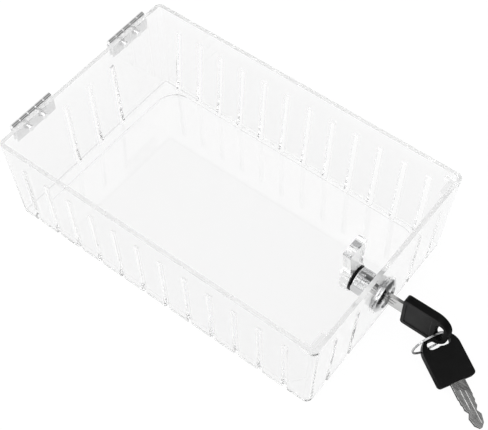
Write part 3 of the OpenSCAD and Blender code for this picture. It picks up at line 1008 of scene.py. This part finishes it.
@dataclass
class SplitRing:
    """The key ring: flat wire wound in two turns, with its two ends free."""

    sizes: RingSizes

    def build(self) -> bpy.types.Object:
        """Winds the wire and lays the ring in place.

        Returns:
            The finished ring.
        """
        s = self.sizes
        wire = s.width / (s.turns + 1)
        Bench.clear_selection()
        bpy.ops.mesh.primitive_plane_add(size=1.0, location=(0, 0, 0), rotation=(math.pi / 2, 0, 0))
        ring = bpy.context.object
        ring.name = "ring_piece"
        Bench.settle()
        Bench.pick(ring, "VERT", lambda co: True)
        bpy.ops.transform.resize(value=(s.thick, 1, wire), center_override=(0, 0, 0))
        bpy.ops.transform.translate(value=(s.radius, 0, -wire * s.turns / 2))
        bpy.ops.mesh.bevel(offset=s.wire_round, segments=s.round_steps, affect="VERTICES")
        bpy.ops.mesh.select_all(action="SELECT")
        bpy.ops.mesh.delete(type="ONLY_FACE")
        Bench.close()
        Bench.apply(ring, "SCREW", axis="Z", angle=2 * math.pi, screw_offset=wire, iterations=s.turns,
                    steps=s.steps, render_steps=s.steps)
        Bench.pick(ring, "VERT", lambda co: True)
        bpy.ops.mesh.remove_doubles(threshold=s.weld)
        bpy.ops.mesh.select_all(action="DESELECT")
        bpy.ops.mesh.select_non_manifold()
        bpy.ops.mesh.fill_holes(sides=0)
        bpy.ops.mesh.select_all(action="SELECT")
        bpy.ops.mesh.normals_make_consistent(inside=False)
        Bench.close()
        Bench.smooth(ring, s.smooth_degrees)
        Bench.only(ring)
        ring.matrix_world = s.place()
        Bench.settle()
        return ring

    def dress(self, ring: bpy.types.Object, finishes: Finishes) -> None:
        """Gives the ring its finish and its place.

        Args:
            ring: The finished ring.
            finishes: The shared finishes.
        """
        finishes.dress(ring, Slot.CHROME)
        Piece.enter(ring, Body.RING, Slot.CHROME, "key_ring")


@dataclass(frozen=True)
class NodeFinish:
    """How a CAD node's copy is finished: its edges are rounded and it takes a slot's material."""

    node: str
    body: Body
    slot: Slot
    rounding: float
    steps: int = 3
    degrees: float = 30.0

    def build(self, finishes: Finishes) -> bpy.types.Object:
        """Makes the piece that stands for the node.

        Args:
            finishes: The shared finishes.

        Returns:
            The finished piece.
        """
        piece = Bench.copy_node(self.node, self.node + "_piece")
        if self.rounding > 0:
            Bench.soften(piece, self.rounding, self.steps, self.degrees)
        Bench.smooth(piece, self.degrees)
        finishes.dress(piece, self.slot)
        Piece.enter(piece, self.body, self.slot, self.node)
        return piece


LEAF_ROUND = 0.38 * MM
PIN_ROUND = 0.15 * MM
NUT_ROUND = 0.3 * MM
WASHER_ROUND = 0.1 * MM
BLADE_ROUND = 0.12 * MM
HEAD_ROUND = 0.6 * MM
HARDWARE = (
    NodeFinish("near_fixed_leaf", Body.COVER, Slot.STEEL, LEAF_ROUND),
    NodeFinish("far_fixed_leaf", Body.COVER, Slot.STEEL, LEAF_ROUND),
    NodeFinish("near_free_leaf", Body.NEAR_LEAF, Slot.STEEL, LEAF_ROUND),
    NodeFinish("far_free_leaf", Body.FAR_LEAF, Slot.STEEL, LEAF_ROUND),
    NodeFinish("near_pin", Body.COVER, Slot.STEEL, PIN_ROUND),
    NodeFinish("far_pin", Body.COVER, Slot.STEEL, PIN_ROUND),
    NodeFinish("hinge_rivets", Body.COVER, Slot.STEEL, PIN_ROUND),
    NodeFinish("lock_housing", Body.COVER, Slot.CHROME, 0.0),
    NodeFinish("lock_nut", Body.COVER, Slot.CHROME, NUT_ROUND),
    NodeFinish("lock_plug", Body.PLUG, Slot.CHROME, WASHER_ROUND),
    NodeFinish("stop_washer", Body.PLUG, Slot.BLACK, WASHER_ROUND),
    NodeFinish("spring_washer", Body.PLUG, Slot.STEEL, WASHER_ROUND),
    NodeFinish("cam_screw", Body.PLUG, Slot.STEEL, PIN_ROUND),
    NodeFinish("key_1_blade", Body.KEY_1, Slot.KEY, BLADE_ROUND),
    NodeFinish("key_2_blade", Body.KEY_2, Slot.KEY, BLADE_ROUND),
    NodeFinish("key_1_head", Body.KEY_1, Slot.BLACK, HEAD_ROUND),
    NodeFinish("key_2_head", Body.KEY_2, Slot.BLACK, HEAD_ROUND),
)
PLAIN_NODES = {"wafer_1": Slot.BRASS, "wafer_2": Slot.BRASS, "wafer_3": Slot.BRASS, "wafer_4": Slot.BRASS,
               "wafer_springs": Slot.STEEL}


@dataclass(frozen=True)
class SoftLamp:
    """An area lamp that faces the origin: its place and size in metres and its power in watts."""

    name: str
    place: Point
    size: float
    power: float


@dataclass(frozen=True)
class DarkSide:
    """A direction in which the light tent opens to a dark room, and the cosines between which it fades."""

    way: Point
    fade: tuple[float, float]


@dataclass(frozen=True)
class ShadeSide:
    """A straight side of the floor's painted shade: the direction that it faces and how far out it lies."""

    way: Point
    limit: float


@dataclass
class Studio:
    """Camera, floor, lamps and surrounding light, in metres and degrees."""

    width_px: int = 488
    focal_px: float = 1168.1
    sensor: float = 36.0
    azimuth: float = 37.44
    elevation: float = 54.77
    roll: float = 0.22
    spot: Point = (238.61 * MM, -298.05 * MM, 552.41 * MM)
    clip: tuple[float, float] = (0.01, 20.0)
    floor_size: float = 12.0
    floor_gap: float = 0.02 * MM
    floor_tone: float = 0.1
    floor_glow: float = 0.94
    # Light of the tent all round, and of the dark room that it opens to
    pale_tent: float = 0.76
    dark_room: float = 0.096
    dark_sides: tuple[DarkSide, ...] = (
        DarkSide((-0.25, 0.62, 0.74), (0.8, 1.05)),
        DarkSide((0.03, 0.28, 0.96), (0.9, 0.97)),
        DarkSide((0.85, 0.458, 0.26), (0.78, 0.95)),
    )
    # Painted reflection: where along X the floor turns dark in mirrors only, and how bright mirrors see it
    # past that edge
    painted_reflection_edge: tuple[float, float] = (115 * MM, 145 * MM)
    painted_reflection_level: float = 0.08
    # Brightness of the floor in the painted shade under and behind the box, and the width of its soft edge
    shade: float = 0.97
    shade_soft: float = 10 * MM
    shade_sides: tuple[ShadeSide, ...] = (
        ShadeSide((1.0, 0.0, 0.0), 101.7 * MM),
        ShadeSide((0.0, -1.0, 0.0), 64.2 * MM),
        ShadeSide((-1.0, 0.0, 0.0), 148.8 * MM),
        ShadeSide((0.0, 1.0, 0.0), 114.1 * MM),
        ShadeSide((-0.485, -0.875, 0.0), 105.5 * MM),
        ShadeSide((0.964, 0.265, 0.0), 115.1 * MM),
    )
    soft_lamps: tuple[SoftLamp, ...] = (
        SoftLamp("front_lamp", (-0.3, -1.0, 0.55), 0.6, 3.0),
        SoftLamp("top_lamp", (0.5, -0.6, 1.3), 1.6, 8.0),
    )
    light_bounces: int = 96

    def camera(self) -> None:
        """Sets the camera at the photograph's place."""
        data = bpy.data.cameras.new("camera")
        data.sensor_fit = "HORIZONTAL"
        data.sensor_width = self.sensor
        data.lens = self.focal_px / self.width_px * self.sensor
        data.clip_start, data.clip_end = self.clip
        camera = bpy.data.objects.new("camera", data)
        bpy.context.scene.collection.objects.link(camera)
        a, e, r = (math.radians(v) for v in (self.azimuth, self.elevation, self.roll))
        back = Vector((math.sin(a) * math.cos(e), -math.cos(a) * math.cos(e), math.sin(e)))
        level = Vector((math.cos(a), math.sin(a), 0))
        rise = back.cross(level)
        right = level * math.cos(r) + rise * math.sin(r)
        up = rise * math.cos(r) - level * math.sin(r)
        turn = Matrix((right, up, back)).transposed().to_4x4()
        camera.matrix_world = Matrix.Translation(self.spot) @ turn
        bpy.context.scene.camera = camera

    def floor(self) -> None:
        """Adds the white floor, which keeps a faint real shadow and a painted shade under and behind the
        box.
        """
        Bench.clear_selection()
        bpy.ops.mesh.primitive_plane_add(size=self.floor_size, location=(0, 0, -self.floor_gap))
        plane = bpy.context.object
        plane.name = "floor"
        material = bpy.data.materials.new("white_floor")
        tree = Tree(material)
        diffuse = tree.add("BsdfDiffuse")
        diffuse.inputs["Color"].default_value = (self.floor_tone, self.floor_tone, self.floor_tone, 1)
        level = self._seen(tree)
        # Painted shade: the glow is dimmed under and behind the box
        for part in (self.floor_glow, self._shade(tree), self._painted_reflection(tree)):
            level = tree.calc("MULTIPLY", level, part)
        glow = tree.add("Emission")
        tree.put(glow.inputs["Strength"], level)
        both = tree.add("AddShader")
        tree.links.new(diffuse.outputs[0], both.inputs[0])
        tree.links.new(glow.outputs[0], both.inputs[1])
        tree.links.new(both.outputs[0], tree.add("OutputMaterial").inputs["Surface"])
        plane.data.materials.append(material)

    def _painted_reflection(self, tree: Tree) -> Socket:
        """Adds a painted reflection: past an edge along X beyond the keys the floor turns dark in mirrors
        only, while the camera still sees it white.

        Args:
            tree: Tree of the floor's material.

        Returns:
            The brightness, 1 for every ray that is not mirrored.
        """
        apart = tree.add("SeparateXYZ")
        tree.links.new(tree.add("TexCoord").outputs["Object"], apart.inputs[0])
        edge = tree.span(apart.outputs["X"], self.painted_reflection_edge, (1.0, self.painted_reflection_level), smooth=True)
        path = tree.add("LightPath").outputs
        mirrored = tree.calc("SUBTRACT", path["Is Glossy Ray"], path["Is Transmission Ray"])
        return tree.span(mirrored, (0.0, 1.0), (1.0, edge))

    def _shade(self, tree: Tree) -> Socket:
        """Adds the faint soft painted shade on the floor, under the box and behind its far walls.

        Args:
            tree: Tree of the floor's material.

        Returns:
            The floor's brightness, 1 outside the shade.
        """
        place = tree.add("TexCoord").outputs["Object"]
        depth: Value = 1.0
        for side in self.shade_sides:
            reach = (side.limit - self.shade_soft, side.limit)
            inside = tree.span(tree.along(place, side.way), reach, (1.0, 0.0), smooth=True)
            depth = tree.calc("MULTIPLY", depth, inside)
        return tree.span(depth, (0.0, 1.0), (1.0, self.shade))

    @staticmethod
    def _seen(tree: Tree, glossy: bool = True) -> Socket:
        """Adds a value that is 1 for camera and transmission rays that no matt surface has scattered.

        Args:
            tree: Tree of the floor's material or of the world.
            glossy: Whether mirrored rays count as well.

        Returns:
            The value, 0 or 1.
        """
        path = tree.add("LightPath").outputs
        seen = tree.calc("MAXIMUM", path["Is Camera Ray"], path["Is Transmission Ray"])
        if glossy:
            seen = tree.calc("MAXIMUM", seen, path["Is Glossy Ray"])
        unscattered = tree.calc("LESS_THAN", path["Diffuse Depth"], 1.0)
        return tree.calc("MULTIPLY", seen, unscattered)

    def world(self) -> None:
        """Sets the surroundings: white as a background, a pale tent with dark sides as the light."""
        world = bpy.data.worlds.new("studio")
        bpy.context.scene.world = world
        tree = Tree(world)
        place = tree.add("TexCoord").outputs["Generated"]
        level: Value = self.pale_tent
        for dark in self.dark_sides:
            level = tree.span(tree.along(place, dark.way), dark.fade, (level, self.dark_room))
        room, backdrop = tree.add("Background"), tree.add("Background")
        for background in (room, backdrop):
            background.inputs["Color"].default_value = (1, 1, 1, 1)
        tree.put(room.inputs["Strength"], level)
        mix = tree.add("MixShader")
        tree.put(mix.inputs["Fac"], self._seen(tree, glossy=False))
        tree.links.new(room.outputs[0], mix.inputs[1])
        tree.links.new(backdrop.outputs[0], mix.inputs[2])
        tree.links.new(mix.outputs[0], tree.add("OutputWorld").inputs["Surface"])

    def lamps(self) -> None:
        """Adds the soft area lamps."""
        for lamp in self.soft_lamps:
            data = bpy.data.lights.new(lamp.name, "AREA")
            data.size = lamp.size
            data.energy = lamp.power
            light = bpy.data.objects.new(lamp.name, data)
            bpy.context.scene.collection.objects.link(light)
            light.location = lamp.place
            light.rotation_mode = "QUATERNION"
            light.rotation_quaternion = (-Vector(lamp.place)).to_track_quat("-Z", "Y")

    def build(self) -> None:
        """Sets up the whole studio."""
        self.camera()
        self.floor()
        self.world()
        self.lamps()
        scene = bpy.context.scene
        scene.view_settings.view_transform = "Standard"
        scene.cycles.max_bounces = scene.cycles.transmission_bounces = self.light_bounces
        scene.cycles.glossy_bounces = self.light_bounces


def main() -> None:
    """Builds the pieces in order and reports each one."""
    logging.basicConfig(level=logging.INFO, format="%(name)s: %(message)s")
    Studio().build()
    finishes = Finishes()
    for maker in (Shell(ShellSizes()), LockCam(CamSizes()), SplitRing(RingSizes())):
        piece = maker.build()
        maker.dress(piece, finishes)
        LOG.info("%s: %d faces", piece.name, len(piece.data.polygons))
    for item in HARDWARE:
        piece = item.build(finishes)
        LOG.info("%s: %d faces", piece.name, len(piece.data.polygons))
    for node, slot in PLAIN_NODES.items():
        finishes.dress(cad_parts[node], slot)
        LOG.info("%s: finish %s", node, slot.value)
    bpy.context.view_layer.update()


if __name__ == "__main__":
    main()
